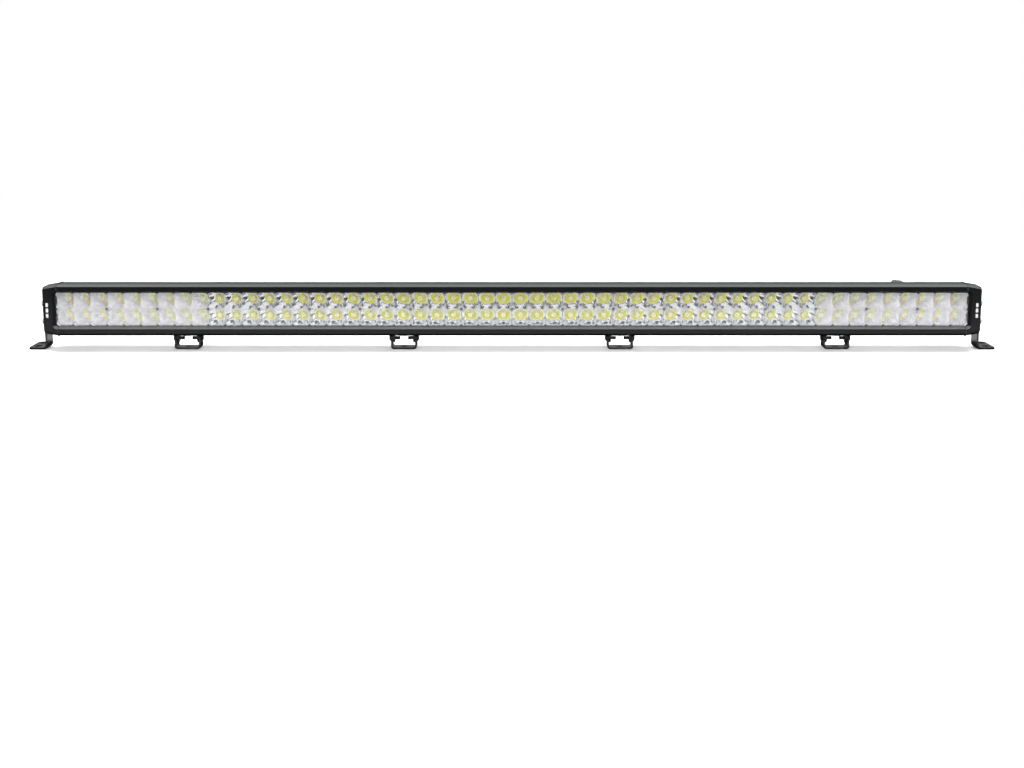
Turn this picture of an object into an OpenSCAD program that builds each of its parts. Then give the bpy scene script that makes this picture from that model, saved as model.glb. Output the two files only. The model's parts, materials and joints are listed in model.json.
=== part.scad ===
// Two-row LED light bar for a truck or trailer, with a pair of tilting end brackets
// and four feet that slide in a T-slot along its underside.
// X runs along the bar, the lit front faces -Y, Z is up and Z = 0 is the mounting surface.

/* [Light array] */
// Distance between neighbouring lamps, along the bar and between the rows
led_pitch = 23.2; // [22.8:0.1:23.3]
// Lamps along each of the six light modules
module_cups = 9; // [9:3:12]
// Depth of a reflector module
reflector_d = 23; // [20:0.5:23]

/* [Body] */
// Height of the extruded body
body_h = 71; // [71:0.5:76]
// Height of the body's underside above the mounting surface
ground_gap = 22.5; // [22.5:0.5:24]
// Bevel along the upper and lower front edges
bevel = 3.1; // [2:0.1:3.6]
// Height of the window in the front face
window_h = 52.2; // [51:0.1:53]
// Depth of the sloping flare in front of the lens
flare_d = 7.8; // [6:0.1:7.8]
// Thickness of the lens
lens_t = 3; // [2:0.1:3]
// Depth from the front face to the tips of the cooling fins
fin_tip_d = 65.6; // [56:0.1:65.6]
// Thickness of a cooling fin
fin_t = 2; // [1.6:0.1:2.6]

/* [End caps] */
// Length of an end cap
cap_len = 19; // [19:0.5:24]
// How far the cap's top and bottom taper in towards its outer face
cap_drop = 3.2; // [2:0.1:3.4]
// Thickness of the gasket between cap and body
gasket_t = 1.5; // [1:0.1:2]

/* [End brackets] */
// Thickness of the bracket steel
bracket_t = 3; // [2.5:0.1:4]
// Width of the bracket's upright plate
bracket_w = 26.5; // [25:0.5:29]
// Height of the bracket
bracket_h = 75.4; // [74:0.2:80]
// Height of the tilt pivot
pivot_z = 39; // [38:0.5:40]
// Distance from the pivot to the curved slot above it
slot_rise = 25.1; // [24:0.1:26]
// Length of the bracket's foot along Y
foot_plate_l = 49.6; // [48:0.2:56]

/* [Sliding feet] */
// Distance between neighbouring feet
foot_spacing = 300; // [240:10:300]
// Width of the T-slot's mouth
slot_mouth_w = 8.6; // [8.6:0.1:9]
// Outer width of a foot's U bracket
u_outer_w = 36; // [36:0.5:38]
// Thickness of the U bracket's steel
u_t = 2.6; // [2.4:0.1:2.8]
// Depth of the U bracket and its channel along Y
u_depth = 21; // [19:0.5:22]

/* [Cable and vent] */
// Radius of the cable hole through the gland
cable_r = 3; // [2:0.1:3]
// Place of the gland along the bar
gland_x = 540; // [300:10:560]
// Distance from the gland to the vent plug
vent_gap = 60; // [30:5:120]

/* [Hidden] */
$fn = 48;

BLACK = "#1c1d1f";
RUBBER = "#0e0e0f";
CHROME = "#d5d7dc";
FROST = "#e6e8dc";
PHOSPHOR = "#d7d86a";
ZINC = "#b9bcc0";
BOARD = "#e9ece6";

// Fits and small distances shared by several pieces
eps = 0.5;
fit_gap = 0.1;
slide_gap = 0.3;

// Stations along X
module_l = module_cups * led_pitch;
modules = 6;
block_cups = 3;
array_end = modules * module_l / 2;
bar_end = array_end + 15.1;
cap_start = bar_end - cap_len;
body_end = cap_start - gasket_t;
lens_end = array_end + 1.9;
window_end = array_end + 2;

// Heights measured from the bar's middle, depths measured back from its front face
front_y = -39;
mid_z = ground_gap + body_h / 2;
half_h = body_h / 2;
clear_h = 2 * led_pitch + 0.2;
chamber_h = 2 * led_pitch + 0.6;
groove_h = window_h + 0.2;
groove_d = lens_t + 1.1;
seal_t = 1;
chamber_d = flare_d + groove_d;
reflector_front_d = chamber_d + fit_gap;
board_front_d = reflector_front_d + reflector_d + 0.2;
board_t = 1.6;
wall_front_d = board_front_d + board_t + fit_gap;
wall_back_d = wall_front_d + 3.9;
top_flat_d = 30;
shoulder_h = half_h - 3.5;

// Driver compartment above the reflectors
driver_d = [19.5, 36];
driver_h = [25.7, 33.2];
gland_h = 28.5;
gland_hole_r = 4;
vent_hole_r = 3;

// T-slot under the reflectors, in line with the tilt pivot
pivot_y = -6;
slot_d = pivot_y - front_y;
slot_lip = 2.5;
slot_cavity_w = 13.6;
slot_cavity_h = 7.2;
slot_block_d = slot_d + 10.5;

// Cooling fins
fin_step = 7;
fin_rows = 3;

// Screws that hold the caps, as [depth, height] of each axis
cap_screw_r = 2;
cap_screw_spots = [[15, 27.2], [15, -27.2], [50, 17.5], [50, -17.5]];
cap_head_r = 3.3;
cap_head_deep = 3.4;

// Screws that hold the end brackets
m6_r = 3;
bracket_screw_spots = [pivot_z, pivot_z + slot_rise];
washer_t = 1.6;
bracket_x = bar_end + washer_t;
washer_x = bracket_x + bracket_t;
spring_x = washer_x + washer_t;
head_x = spring_x + washer_t;

// Feet
foot_pivot_z = 14.5;
foot_tip_r = 7.5;
channel_w = u_outer_w - 2 * u_t - 0.5;
channel_t = 2.7;
channel_top = ground_gap - slide_gap;
lip_tip_r = 6.5;
m8_r = 4;
m5_r = 2.5;
nut_af = 13;
nut_h = 6.5;
nut_z = ground_gap + slot_lip + slide_gap;

// ---- Placing helpers ----

// Places children measured from the middle of the bar's front face
module bar_frame() {
    translate([0, front_y, mid_z]) children();
}

// Sweeps an outline drawn in (Y, Z) along X from one station to another
module along_x(from_x, to_x) {
    translate([from_x, 0, 0]) rotate([90, 0, 90]) linear_extrude(to_x - from_x) children();
}

// Sweeps an outline drawn in (X, Z) along Y over a length, centred on Y = 0
module along_y(length) {
    translate([0, length / 2, 0]) rotate([90, 0, 0]) linear_extrude(length) children();
}

// A round rod along X between two stations
module rod_x(from_x, to_x, y, z, r) {
    translate([from_x, y, z]) rotate([0, 90, 0]) cylinder(r = r, h = to_x - from_x);
}

// A round or tapered rod that runs back along +Y
module rod_y(x, y, z, length, r1, r2) {
    translate([x, y, z]) rotate([-90, 0, 0]) cylinder(r1 = r1, r2 = r2, h = length);
}

// Mirrors what is built for the right end onto the left end
module at_side(side) {
    if (side < 0) mirror([1, 0, 0]) children();
    else children();
}

// Repeats children at every lamp of one module
module at_cups() {
    for (column = [0 : module_cups - 1], row = [-0.5, 0.5])
        translate([(column - (module_cups - 1) / 2) * led_pitch, 0, row * led_pitch]) children();
}

// Moves children to module 1 to 6, counted from the left end
module at_module(number) {
    bar_frame() translate([(number - (modules + 1) / 2) * module_l, 0, 0]) children();
}

// ---- Body ----

function flare_half(depth) = window_h / 2 - (window_h - clear_h) / 2 * depth / flare_d;

module body_outline() {
    polygon([
        [0, bevel - half_h], [bevel, -half_h], [slot_block_d, -half_h],
        [slot_block_d, -chamber_h / 2 - 2], [wall_back_d, -chamber_h / 2],
        [wall_back_d, shoulder_h], [top_flat_d, half_h], [bevel, half_h], [0, half_h - bevel]
    ]);
}

module fin_outline() {
    for (row = [-fin_rows : fin_rows])
        translate([wall_back_d - eps, row * fin_step - fin_t / 2])
            square([fin_tip_d - wall_back_d + eps, fin_t]);
    for (spot = cap_screw_spots)
        translate(spot) circle(r = cap_screw_r + 1.6);
}

// Window flare, lens groove and reflector chamber
module chamber_outline() {
    polygon([
        [-1, -flare_half(-1)], [flare_d, -clear_h / 2], [flare_d + eps, -clear_h / 2],
        [flare_d + eps, clear_h / 2], [flare_d, clear_h / 2], [-1, flare_half(-1)]
    ]);
    translate([flare_d, -groove_h / 2]) square([groove_d, groove_h]);
    translate([flare_d + eps, -chamber_h / 2]) square([wall_front_d - flare_d - eps, chamber_h]);
}

module t_slot_outline() {
    translate([slot_d - slot_mouth_w / 2, -half_h - 1]) square([slot_mouth_w, slot_lip + 1 + eps]);
    translate([slot_d - slot_cavity_w / 2, slot_lip - half_h]) square([slot_cavity_w, slot_cavity_h]);
}

// Hollows behind the bezel that save metal
module core_outline() {
    core_size = [6.4, 4.4];
    core_d = 7.7;
    core_h = 30.8;
    for (side = [-1, 1])
        translate([core_d, side * core_h]) square(core_size, center = true);
}

module housing() {
    hole_l = 8;
    hole_d = driver_d[1] - 1;
    color(BLACK) bar_frame() difference() {
        along_x(-body_end, body_end) difference() {
            union() {
                body_outline();
                fin_outline();
            }
            chamber_outline();
            t_slot_outline();
            core_outline();
            translate([driver_d[0], driver_h[0]])
                square([driver_d[1] - driver_d[0], driver_h[1] - driver_h[0]]);
            for (spot = cap_screw_spots) translate(spot) circle(r = cap_screw_r);
        }
        rod_y(gland_x, hole_d, gland_h, hole_l, gland_hole_r, gland_hole_r);
        rod_y(gland_x - vent_gap, hole_d, gland_h, hole_l, vent_hole_r, vent_hole_r);
    }
}

// ---- End caps and gaskets, built for the right end ----

cap_back_d = 66;
cap_back_h = 22.5;
cap_under_d = 52;

function cap_points(drop, inset) = [
    [inset, bevel + drop - half_h], [inset + bevel, drop - half_h],
    [cap_under_d - inset, drop - half_h], [cap_back_d - inset, drop / 2 - cap_back_h],
    [cap_back_d - inset, cap_back_h - drop / 2], [wall_back_d, shoulder_h - drop],
    [top_flat_d, half_h - drop], [inset + bevel, half_h - drop], [inset, half_h - bevel - drop]
];

module cap_form() {
    edge = 1;
    inset = 0.5;
    slice = 0.2;
    hull() {
        along_x(cap_start, cap_start + slice) polygon(cap_points(0, 0));
        along_x(bar_end - edge - slice, bar_end - edge) polygon(cap_points(cap_drop, inset));
        along_x(bar_end - slice, bar_end) polygon(cap_points(cap_drop + edge, inset + edge));
    }
}

// The flared, round-cornered end of the window
module window_end_form() {
    reach = 20;
    front_r = 5;
    back_r = 3.4;
    front_half = flare_half(-1);
    hull() {
        for (side = [-1, 1]) {
            rod_y(window_end - front_r + 0.2, -1, side * (front_half - front_r), 0.1, front_r, front_r);
            rod_y(array_end + 0.3 - back_r, flare_d, side * (clear_h / 2 - back_r), 0.2, back_r, back_r);
        }
        translate([array_end - reach, -1, -front_half]) cube([1, 0.1, 2 * front_half]);
        translate([array_end - reach, flare_d, -clear_h / 2]) cube([1, 0.2, clear_h]);
    }
}

// Hollow in the cap, with a boss left round every screw
module cap_pocket() {
    pocket_d = [14, 58];
    pocket_half_h = 21;
    pocket_l = cap_len - 5;
    cap_boss_r = 4.6;
    bracket_boss_r = 5.6;
    difference() {
        translate([cap_start - 1, pocket_d[0], -pocket_half_h])
            cube([pocket_l + 1, pocket_d[1] - pocket_d[0], 2 * pocket_half_h]);
        for (spot = cap_screw_spots)
            rod_x(cap_start - 2, bar_end, spot[0], spot[1], cap_boss_r);
        for (z = bracket_screw_spots)
            rod_x(array_end + 1, bar_end, slot_d, z - mid_z, bracket_boss_r);
    }
}

module end_cap(side) {
    thread_end = array_end + 2.4;
    color(BLACK) at_side(side) bar_frame() difference() {
        cap_form();
        window_end_form();
        cap_pocket();
        translate([cap_start - 1, flare_d, -groove_h / 2])
            cube([lens_end + 0.2 - cap_start + 1, groove_d, groove_h]);
        translate([cap_start - 1, chamber_d - eps, -chamber_h / 2])
            cube([array_end + 0.3 - cap_start + 1, wall_front_d - chamber_d + eps, chamber_h]);
        for (spot = cap_screw_spots) {
            rod_x(cap_start - 1, bar_end, spot[0], spot[1], cap_screw_r + 0.3);
            rod_x(bar_end - cap_head_deep, bar_end + 1, spot[0], spot[1], cap_head_r + 0.2);
        }
        for (z = bracket_screw_spots)
            rod_x(thread_end, bar_end + 1, slot_d, z - mid_z, m6_r);
    }
}

module cap_gasket(side) {
    proud = 0.8;
    under_d = cap_under_d - 1;
    back_d = cap_back_d - 0.6;
    back_h = cap_back_h + 0.1;
    seat_h = groove_h + 0.4;
    color(RUBBER) at_side(side) bar_frame() along_x(body_end, cap_start) difference() {
        polygon([
            [0.2, bevel - half_h - proud / 2], [bevel, -half_h - proud], [under_d, -half_h - proud],
            [back_d, -back_h], [back_d, back_h], [wall_back_d, shoulder_h + 0.1],
            [top_flat_d, half_h + proud], [bevel, half_h + proud], [0.2, half_h - bevel + proud / 2]
        ]);
        translate([-1, -seat_h / 2]) square([wall_front_d + 1.2, seat_h]);
        for (spot = cap_screw_spots) translate(spot) circle(r = cap_screw_r + 0.3);
    }
}

module cap_screws(side) {
    shank_l = 26;
    head_top = 2.8;
    under_head = bar_end - cap_head_deep;
    color(ZINC) at_side(side) bar_frame() for (spot = cap_screw_spots) difference() {
        union() {
            rod_x(under_head - shank_l, under_head + eps, spot[0], spot[1], cap_screw_r - 0.05);
            rod_x(under_head, under_head + head_top, spot[0], spot[1], cap_head_r);
        }
        translate([under_head + head_top - 1.8, spot[0], spot[1]])
            rotate([0, 90, 0]) cylinder(r = 1.73, h = 3, $fn = 6);
    }
}

// ---- Lens, reflectors and lamps ----

module lens() {
    color("#dfe9ee", 0.35) bar_frame()
        translate([-lens_end, flare_d + seal_t, -window_h / 2 + fit_gap])
            cube([2 * lens_end, lens_t, window_h - 2 * fit_gap]);
}

module lens_seal() {
    inner_half = array_end + 0.4;
    color(RUBBER) bar_frame() translate([0, flare_d, 0]) difference() {
        translate([-lens_end, 0, -window_h / 2 + fit_gap])
            cube([2 * lens_end, seal_t, window_h - 2 * fit_gap]);
        translate([-inner_half, -1, -clear_h / 2 - fit_gap])
            cube([2 * inner_half, seal_t + 2, clear_h + 2 * fit_gap]);
    }
}

// Moulded blocks side by side; each cup narrows towards its lamp in two steps
module reflector(number, tint) {
    block_l = block_cups * led_pitch;
    mouth_r = led_pitch / 2 - 0.5;
    waist_r = 0.78 * mouth_r;
    throat_r = 4;
    step_d = reflector_d * 0.55;
    color(tint) at_module(number) translate([0, reflector_front_d, 0]) difference() {
        for (x = [-module_l / 2 : block_l : module_l / 2 - block_l])
            translate([x + fit_gap, 0, -led_pitch])
                cube([block_l - 2 * fit_gap, reflector_d, 2 * led_pitch]);
        at_cups() {
            rod_y(0, -0.01, 0, step_d + 0.01, mouth_r, waist_r);
            rod_y(0, step_d - 0.01, 0, reflector_d - step_d + 0.02, waist_r, throat_r);
        }
    }
}

module led_board(number) {
    color(BOARD) at_module(number)
        translate([-module_l / 2 + fit_gap, board_front_d, -led_pitch])
            cube([module_l - 2 * fit_gap, board_t, 2 * led_pitch]);
}

// One package with its dome lens on every cup's axis
module leds(number) {
    package_t = 0.7;
    package_r = 2.2;
    dome_r = 1.5;
    color(PHOSPHOR) at_module(number) translate([0, board_front_d - package_t, 0]) at_cups() {
        rod_y(0, 0, 0, package_t, package_r, package_r);
        difference() {
            sphere(r = dome_r);
            rod_y(0, package_t / 2, 0, dome_r, dome_r, dome_r);
        }
    }
}

// Long narrow board that lies over the reflectors, with its coils and capacitors
module driver_board() {
    length = 480;
    width = 15;
    pad_h = 1.2;
    mid_d = (driver_d[0] + driver_d[1]) / 2;
    part_z = pad_h + board_t;
    color("#20603a") bar_frame() translate([0, mid_d, driver_h[0]]) {
        translate([-length / 2, -width / 2, pad_h]) cube([length, width, board_t]);
        for (end = [-1, 1]) translate([end * (length / 2 - 8), 0, 0]) cylinder(r = 3, h = pad_h + eps);
        for (group = [-2 : 2]) translate([group * 90, 0, part_z - 0.1]) {
            translate([-12, -6, 0]) cube([22, 12, 4]);
            translate([20, 0, 0]) cylinder(r = 5, h = 4.2);
            translate([30, -3, 0]) cube([8, 6, 2.4]);
        }
    }
}

// ---- Cable gland and vent plug ----

// Corner radius of the 12 mm hexagons
gland_hex_r = 12 / sqrt(3);
gland_hex_l = 6;
gland_thread_r = 4.8;
gland_thread_l = 15;

// A six-sided collar that runs back along +Y
module hex_y(x, y, z, length, r) {
    translate([x, y, z]) rotate([-90, 0, 0]) cylinder(r = r, h = length, $fn = 6);
}

module cable_gland() {
    spigot_d = driver_d[1] + 0.2;
    spigot_l = wall_back_d - driver_d[1];
    spigot_r = gland_hole_r - 0.05;
    color(RUBBER) bar_frame() difference() {
        union() {
            rod_y(gland_x, spigot_d, gland_h, spigot_l, spigot_r, spigot_r);
            hex_y(gland_x, wall_back_d, gland_h, gland_hex_l, gland_hex_r);
            rod_y(gland_x, wall_back_d, gland_h, gland_thread_l, gland_thread_r, gland_thread_r);
        }
        rod_y(gland_x, driver_d[1] - 1, gland_h, 2 * gland_thread_l, cable_r, cable_r);
    }
}

module gland_nut() {
    nut_l = 9;
    dome_l = 8;
    dome_r = 6;
    tail_r = 4.6;
    tip_r = 3.9;
    thread_r = gland_thread_r + 0.05;
    start_d = wall_back_d + gland_hex_l + slide_gap;
    dome_d = start_d + nut_l;
    tail_d = dome_d + dome_l;
    end_d = -2 * front_y;
    thread_l = wall_back_d + gland_thread_l + 0.2 - start_d;
    color(RUBBER) bar_frame() difference() {
        union() {
            hex_y(gland_x, start_d, gland_h, nut_l, gland_hex_r);
            rod_y(gland_x, dome_d, gland_h, dome_l, dome_r, tail_r);
            rod_y(gland_x, tail_d, gland_h, end_d - tail_d, tail_r, tip_r);
        }
        rod_y(gland_x, start_d - 1, gland_h, thread_l + 1, thread_r, thread_r);
        rod_y(gland_x, start_d, gland_h, end_d - start_d + 1, cable_r, cable_r);
    }
}

module vent_plug() {
    x = gland_x - vent_gap;
    spigot_l = wall_back_d - driver_d[1];
    spigot_r = vent_hole_r - 0.05;
    collar_t = 2;
    collar_r = 5.6;
    cap_l = 4.5;
    cap_r = [4.8, 4.2];
    color(RUBBER) bar_frame() {
        rod_y(x, driver_d[1] + 0.2, gland_h, spigot_l, spigot_r, spigot_r);
        rod_y(x, wall_back_d, gland_h, collar_t, collar_r, collar_r);
        rod_y(x, wall_back_d + collar_t - eps, gland_h, cap_l - collar_t + eps, cap_r[0], cap_r[1]);
    }
}

// ---- End brackets and their fasteners, built for the right end ----

// Bracket steel in section: upright, bend and foot, drawn in (X, Z)
module bracket_section(foot_w) {
    bend_r = 2 * bracket_t;
    inner_r = bend_r - bracket_t;
    translate([bracket_x, 0]) difference() {
        square([foot_w, bracket_h]);
        translate([bracket_t, bend_r]) square([foot_w, bracket_h]);
        translate([bend_r, bracket_t]) square([foot_w, bracket_h]);
        translate([bend_r, bend_r]) circle(r = inner_r);
        difference() {
            translate([-1, -1]) square(bend_r + 1);
            translate([bend_r, bend_r]) circle(r = bend_r);
        }
    }
}

// What a round corner takes off a square one
module corner_cut(r, h) {
    difference() {
        cube([r + 1, r + 1, h]);
        translate([0, 0, -1]) cylinder(r = r, h = h + 2);
    }
}

// Waist notch in one edge of the upright: a round root with sloping sides, cut right through
module waist_notch(side) {
    root_r = 5;
    root_y = bracket_w / 2 + 0.6;
    side_y = root_y - 0.68 * root_r;
    side_z = 0.72 * root_r;
    mouth_y = root_y + 1.4;
    translate([0, 0, pivot_z + 0.54 * slot_rise]) {
        rod_x(bracket_x - 1, washer_x + 1, side * root_y, 0, root_r);
        along_x(bracket_x - 1, washer_x + 1) polygon([
            [side * side_y, side_z], [side * side_y, -side_z],
            [side * mouth_y, side_y - mouth_y - side_z], [side * mouth_y, side_z + mouth_y - side_y]
        ]);
    }
}

// Points on a circle, with angles measured from +Z towards +Y
function arc_points(y, z, r, from, to, steps) =
    [for (i = [0 : steps]) let(a = from + (to - from) * i / steps) [y + r * sin(a), z + r * cos(a)]];

// Slot that curves about the pivot, with round ends
module arc_slot() {
    half_w = 3.6;
    swing = 10.5;
    end_y = slot_rise * sin(swing);
    end_z = slot_rise * cos(swing);
    translate([0, 0, pivot_z]) along_x(bracket_x - 1, washer_x + 1) polygon(concat(
        arc_points(0, 0, slot_rise + half_w, -swing, swing, 8),
        arc_points(end_y, end_z, half_w, swing + 15, swing + 165, 10),
        arc_points(0, 0, slot_rise - half_w, swing, -swing, 8),
        arc_points(-end_y, end_z, half_w, 195 - swing, 345 - swing, 10)
    ));
}

module mounting_slot(x, y, width, length) {
    straight = length - width;
    for (end = [-1, 1])
        translate([x, y + end * straight / 2, -1]) cylinder(r = width / 2, h = bracket_t + 2);
    translate([x - width / 2, y - straight / 2, -1]) cube([width, straight, bracket_t + 2]);
}

module bracket(side) {
    foot_w = 26.5;
    corner_r = 4;
    half_w = bracket_w / 2;
    wing_x = bracket_x + 8;
    foot_x = bracket_x + foot_w;
    slot_x = foot_x - 9.6;
    wing_end = foot_plate_l - half_w;
    slot_w = 9;
    slot_l = 13;
    slot_spacing = 24;
    color(BLACK) at_side(side) translate([0, pivot_y, 0]) difference() {
        union() {
            along_y(bracket_w) bracket_section(foot_w);
            translate([wing_x, half_w - eps, 0])
                cube([foot_x - wing_x, wing_end - half_w + eps, bracket_t]);
        }
        for (edge = [-1, 1]) {
            waist_notch(edge);
            translate([bracket_x - 1, edge * (half_w - corner_r), bracket_h - corner_r])
                rotate([90, 0, 90]) mirror([edge < 0 ? 1 : 0, 0, 0]) corner_cut(corner_r, bracket_t + 2);
        }
        translate([foot_x - corner_r, wing_end - corner_r, -1]) corner_cut(corner_r, bracket_t + 2);
        translate([wing_x + corner_r, wing_end - corner_r, -1]) rotate([0, 0, 90])
            corner_cut(corner_r, bracket_t + 2);
        translate([foot_x - corner_r, corner_r - half_w, -1]) rotate([0, 0, -90])
            corner_cut(corner_r, bracket_t + 2);
        arc_slot();
        rod_x(bracket_x - 1, washer_x + 1, 0, pivot_z, 3.5);
        mounting_slot(slot_x, 0, slot_w, slot_l);
        mounting_slot(slot_x, slot_spacing, slot_w, slot_l);
    }
}

module flat_washers(side) {
    color(ZINC) at_side(side) translate([0, pivot_y, 0])
        for (z = bracket_screw_spots, x = [bar_end, washer_x]) difference() {
            rod_x(x, x + washer_t, 0, z, 6.2);
            rod_x(x - 1, x + washer_t + 1, 0, z, m6_r + 0.1);
        }
}

module spring_washers(side) {
    color(ZINC) at_side(side) translate([0, pivot_y, 0])
        for (z = bracket_screw_spots) difference() {
            rod_x(spring_x, head_x, 0, z, 5.4);
            rod_x(spring_x - 1, head_x + 1, 0, z, m6_r + 0.1);
            translate([spring_x - 1, -0.6, z]) cube([washer_t + 2, 1.2, 7]);
        }
}

module bracket_screws(side) {
    shank_l = 20;
    head_r = 5;
    head_h = 3.3;
    color(ZINC) at_side(side) translate([0, pivot_y, 0])
        for (z = bracket_screw_spots) difference() {
            union() {
                rod_x(head_x - shank_l, head_x + eps, 0, z, m6_r - 0.05);
                rod_x(head_x, head_x + head_h - 1, 0, z, head_r);
                translate([head_x + head_h - 1, 0, z]) rotate([0, 90, 0])
                    cylinder(r1 = head_r, r2 = head_r - 1.4, h = 1);
            }
            translate([head_x + head_h - 2.2, 0, z]) rotate([0, 90, 0])
                cylinder(r = 2.3, h = 3, $fn = 6);
        }
}

// ---- Sliding feet, numbered 1 to 4 from the left ----

module at_foot(number) {
    translate([(number - 2.5) * foot_spacing, pivot_y, 0]) children();
}

// Channel clamped under the T-slot, with two lips that hang down to the pivot
module foot_channel(number) {
    lip_half_w = lip_tip_r;
    lip_x = channel_w / 2 - channel_t;
    sink_h = 4.2;
    sink_r = 8.2;
    color(BLACK) at_foot(number) difference() {
        union() {
            translate([-channel_w / 2, -u_depth / 2, channel_top - channel_t])
                cube([channel_w, u_depth, channel_t]);
            for (x = [-channel_w / 2, lip_x]) {
                rod_x(x, x + channel_t, 0, foot_pivot_z, lip_tip_r);
                translate([x, -lip_half_w, foot_pivot_z])
                    cube([channel_t, 2 * lip_half_w, channel_top - foot_pivot_z - eps]);
            }
        }
        rod_x(-channel_w, channel_w, 0, foot_pivot_z, m5_r);
        translate([0, 0, channel_top - sink_h - 1]) cylinder(r = m8_r + 0.3, h = sink_h + 2);
        translate([0, 0, channel_top - sink_h]) cylinder(r1 = sink_r, r2 = m8_r, h = sink_h);
    }
}

// Countersunk bolt, its head in the channel and its end in the T-slot
module foot_bolt(number) {
    head_h = 4;
    head_z = channel_top - 4.2;
    tip_z = nut_z + nut_h + 0.2;
    color(ZINC) at_foot(number) difference() {
        union() {
            translate([0, 0, head_z]) cylinder(r1 = 7.8, r2 = m8_r - 0.1, h = head_h);
            translate([0, 0, head_z + head_h - eps])
                cylinder(r = m8_r - 0.1, h = tip_z - head_z - head_h + eps);
        }
        translate([0, 0, head_z - 1]) cylinder(r = 2.9, h = 3.4, $fn = 6);
    }
}

// Hex nut held square by the walls of the T-slot
module foot_nut(number) {
    color(ZINC) at_foot(number) translate([0, 0, nut_z]) difference() {
        cylinder(r = nut_af / sqrt(3), h = nut_h, $fn = 6);
        translate([0, 0, -1]) cylinder(r = m8_r, h = nut_h + 2);
    }
}

module foot_pivot_screws(number) {
    shank_l = 12.7;
    color(BLACK) at_foot(number) for (side = [-1, 1]) at_side(side) difference() {
        union() {
            rod_x(u_outer_w / 2 - shank_l, u_outer_w / 2 + eps, 0, foot_pivot_z, m5_r - 0.05);
            rod_x(u_outer_w / 2, u_outer_w / 2 + 1.2, 0, foot_pivot_z, 5);
            translate([u_outer_w / 2 + 1.2, 0, foot_pivot_z]) rotate([0, 90, 0])
                cylinder(r1 = 5, r2 = 3, h = 1.6);
        }
        translate([u_outer_w / 2 + 0.8, 0, foot_pivot_z]) rotate([0, 90, 0])
            cylinder(r = 1.73, h = 3, $fn = 6);
    }
}

// Bent section of the U bracket, drawn in (X, Z)
module u_section() {
    outer_r = 4.5;
    top_z = foot_pivot_z + foot_tip_r;
    half_w = u_outer_w / 2;
    difference() {
        translate([-half_w, 0]) square([u_outer_w, top_z]);
        translate([u_t - half_w, outer_r]) square([u_outer_w - 2 * u_t, top_z]);
        translate([outer_r - half_w, u_t]) square([u_outer_w - 2 * outer_r, top_z]);
        for (side = [-1, 1]) {
            translate([side * (half_w - outer_r), outer_r]) circle(r = outer_r - u_t);
            translate([side * (half_w - outer_r), outer_r])
                mirror([side < 0 ? 1 : 0, 0]) translate([0, -outer_r - 1]) difference() {
                    square(outer_r + 1);
                    translate([0, outer_r + 1]) circle(r = outer_r);
                }
        }
    }
}

module foot_bracket(number) {
    waist_z = 6;
    color(BLACK) at_foot(number) difference() {
        intersection() {
            along_y(u_depth) u_section();
            along_x(-u_outer_w, u_outer_w) union() {
                polygon([
                    [-u_depth / 2, -1], [u_depth / 2, -1], [u_depth / 2, waist_z],
                    [foot_tip_r, foot_pivot_z], [-foot_tip_r, foot_pivot_z], [-u_depth / 2, waist_z]
                ]);
                translate([0, foot_pivot_z]) circle(r = foot_tip_r);
            }
        }
        rod_x(-u_outer_w, u_outer_w, 0, foot_pivot_z, m5_r + 0.05);
        translate([0, 0, -1]) cylinder(r = 4.5, h = u_t + 2);
    }
}

housing();
end_cap(-1);  // end_cap_left
end_cap(1);  // end_cap_right
cap_gasket(-1);  // cap_gasket_left
cap_gasket(1);  // cap_gasket_right
lens();
lens_seal();
reflector(1, FROST);  // flood_reflector_left
reflector(2, CHROME);  // spot_reflector_1
reflector(3, CHROME);  // spot_reflector_2
reflector(4, CHROME);  // spot_reflector_3
reflector(5, CHROME);  // spot_reflector_4
reflector(6, FROST);  // flood_reflector_right
led_board(1);  // led_board_1
led_board(2);  // led_board_2
led_board(3);  // led_board_3
led_board(4);  // led_board_4
led_board(5);  // led_board_5
led_board(6);  // led_board_6
leds(1);  // leds_1
leds(2);  // leds_2
leds(3);  // leds_3
leds(4);  // leds_4
leds(5);  // leds_5
leds(6);  // leds_6
driver_board();
cable_gland();
gland_nut();
vent_plug();
cap_screws(-1);  // cap_screws_left
cap_screws(1);  // cap_screws_right
bracket(-1);  // bracket_left
bracket(1);  // bracket_right
flat_washers(-1);  // flat_washers_left
flat_washers(1);  // flat_washers_right
spring_washers(-1);  // spring_washers_left
spring_washers(1);  // spring_washers_right
bracket_screws(-1);  // bracket_screws_left
bracket_screws(1);  // bracket_screws_right
foot_channel(1);  // foot_1_channel
foot_bolt(1);  // foot_1_bolt
foot_nut(1);  // foot_1_nut
foot_pivot_screws(1);  // foot_1_pivot_screws
foot_bracket(1);  // foot_1_bracket
foot_channel(2);  // foot_2_channel
foot_bolt(2);  // foot_2_bolt
foot_nut(2);  // foot_2_nut
foot_pivot_screws(2);  // foot_2_pivot_screws
foot_bracket(2);  // foot_2_bracket
foot_channel(3);  // foot_3_channel
foot_bolt(3);  // foot_3_bolt
foot_nut(3);  // foot_3_nut
foot_pivot_screws(3);  // foot_3_pivot_screws
foot_bracket(3);  // foot_3_bracket
foot_channel(4);  // foot_4_channel
foot_bolt(4);  // foot_4_bolt
foot_nut(4);  // foot_4_nut
foot_pivot_screws(4);  // foot_4_pivot_screws
foot_bracket(4);  // foot_4_bracket
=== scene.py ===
"""Looks of the two-row LED light bar: cups, lamps, lens, coated metal, hardware, light and camera."""
import json
import math

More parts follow.
